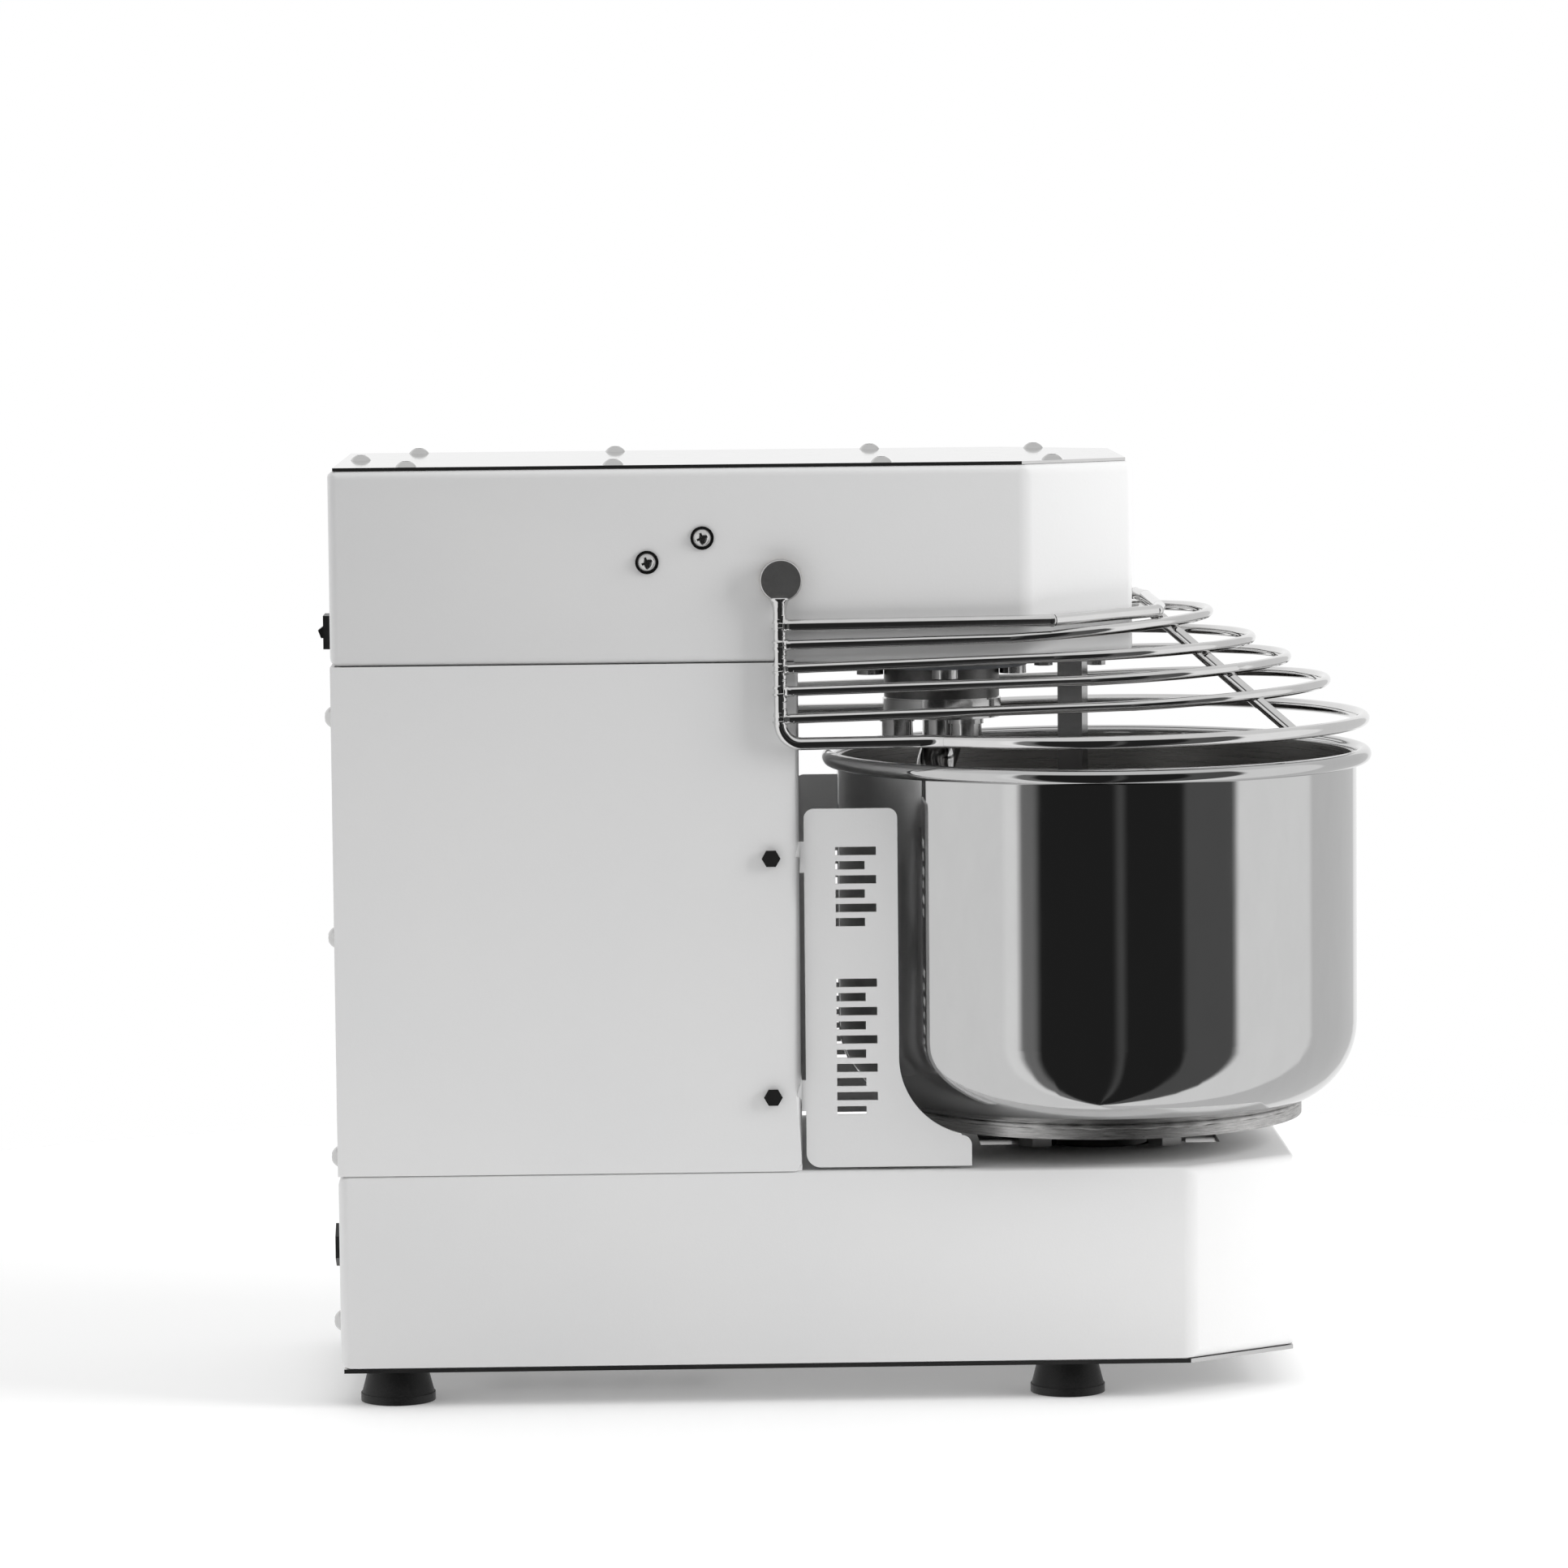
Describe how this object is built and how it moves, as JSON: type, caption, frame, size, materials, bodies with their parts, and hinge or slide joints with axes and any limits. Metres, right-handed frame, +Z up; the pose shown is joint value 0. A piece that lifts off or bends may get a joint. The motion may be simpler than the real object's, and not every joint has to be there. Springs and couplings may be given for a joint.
{
  "type": "spiral dough mixer",
  "caption": "Countertop spiral dough mixer: white box body with fixed head, polished turning bowl, spiral hook, breaker bar and lifting wire guard.",
  "frame": {"origin": "middle of the overall box in plan, on the floor under the feet", "axes": "+X from the column towards the bowl, +Z up, Y = 0 is the middle plane of the machine"},
  "size_m": [0.5254, 0.277, 0.4656],
  "materials": {
    "white_paint": "fine textured white powder coat",
    "sheet_steel": "bright stainless sheet",
    "fasteners": "bright stainless fasteners",
    "black_washer": "darkened stainless washers",
    "black_rubber": "matt black rubber",
    "black_plastic": "matt black plastic",
    "drive_casting": "machined steel",
    "motor_paint": "dark grey enamel",
    "dark_steel": "oiled dark steel",
    "bearing_steel": "ground bearing steel",
    "polished_steel": "polished stainless",
    "bowl_steel": "stainless, mirror polished outside and brushed inside",
    "guard_chrome": "bright chrome wire",
    "bush_bronze": "sintered bronze"
  },
  "bodies": {
    "frame": {"base_housing": "white_paint", "bottom_plate": "sheet_steel", "rubber_feet": "black_rubber", "foot_screws": "fasteners", "cable_gland": "black_plastic", "column_housing": "white_paint", "rear_cover": "white_paint", "rear_screws": "fasteners", "side_plate_near": "white_paint", "side_plate_far": "white_paint", "side_plate_screws": "fasteners", "head_housing": "white_paint", "lid_plate": "sheet_steel", "lid_screws": "fasteners", "head_side_washers": "black_washer", "head_side_screws": "fasteners", "switch_bezel": "black_plastic", "drive_plate": "sheet_steel", "gearbox_housing": "drive_casting", "motor_body": "motor_paint", "motor_fan_cover": "motor_paint", "terminal_box": "motor_paint", "jack_bearing_blocks": "drive_casting", "jack_bracket": "sheet_steel", "chain_spiral": "dark_steel", "chain_jack": "dark_steel", "chain_bowl": "dark_steel", "spiral_housing": "drive_casting", "spiral_bolts_set": "fasteners", "spiral_bearings": "bearing_steel", "breaker_bar": "polished_steel", "breaker_bolts": "fasteners", "bowl_bearing_housing": "drive_casting", "lower_bearings": "bearing_steel", "bowl_bearing_plate": "sheet_steel", "frame_bolts": "fasteners", "guard_bushings": "bush_bronze", "safety_bracket": "sheet_steel", "safety_switch": "black_plastic"},
    "guard": {"guard_cage": "guard_chrome", "guard_bosses": "guard_chrome", "guard_shaft": "polished_steel"},
    "spiral": {"spiral_shaft": "dark_steel", "spiral_sprocket": "dark_steel", "spiral_nut": "fasteners", "spiral_disc": "polished_steel", "spiral_cap_screws": "fasteners", "spiral_washers": "fasteners", "spiral_hook": "polished_steel"},
    "bowl": {"bowl_pan": "bowl_steel", "bowl_disc": "polished_steel", "bowl_shaft": "dark_steel", "bowl_bolts": "fasteners", "bowl_sprocket": "dark_steel"},
    "motor_rotor": {"motor_shaft": "dark_steel", "motor_sprockets": "dark_steel"},
    "jackshaft": {"jack_shaft": "dark_steel", "jack_sprockets": "dark_steel"},
    "rocker": {"switch_rocker": "black_plastic"}
  },
  "joints": [
    {"name": "bowl_spin", "type": "hinge", "parent": "frame", "child": "bowl", "pos_m": [0.1242, 0, 0.13], "axis": [0, 0, 1], "continuous": true},
    {"name": "spiral_spin", "type": "hinge", "parent": "frame", "child": "spiral", "pos_m": [0.0465, 0, 0.35], "axis": [0, 0, 1], "continuous": true},
    {"name": "motor_spin", "type": "hinge", "parent": "frame", "child": "motor_rotor", "pos_m": [-0.178, 0, 0.4], "axis": [0, 0, 1], "continuous": true},
    {"name": "jack_spin", "type": "hinge", "parent": "frame", "child": "jackshaft", "pos_m": [-0.1, 0, 0.2], "axis": [0, 0, 1], "continuous": true},
    {"name": "guard_hinge", "type": "hinge", "parent": "frame", "child": "guard", "pos_m": [-0.036, 0, 0.4066], "axis": [0, -1, 0], "range_deg": [0, 70]},
    {"name": "rocker_tilt", "type": "hinge", "parent": "frame", "child": "rocker", "pos_m": [-0.255, -0.07, 0.3819], "axis": [0, 1, 0], "range_deg": [0, 14]}
  ],
  "couplings": [
    {"joint": "spiral_spin", "follows": "bowl_spin", "ratio": 6.4773},
    {"joint": "jack_spin", "follows": "bowl_spin", "ratio": 5.1818},
    {"joint": "motor_spin", "follows": "bowl_spin", "ratio": 12.955}
  ]
}
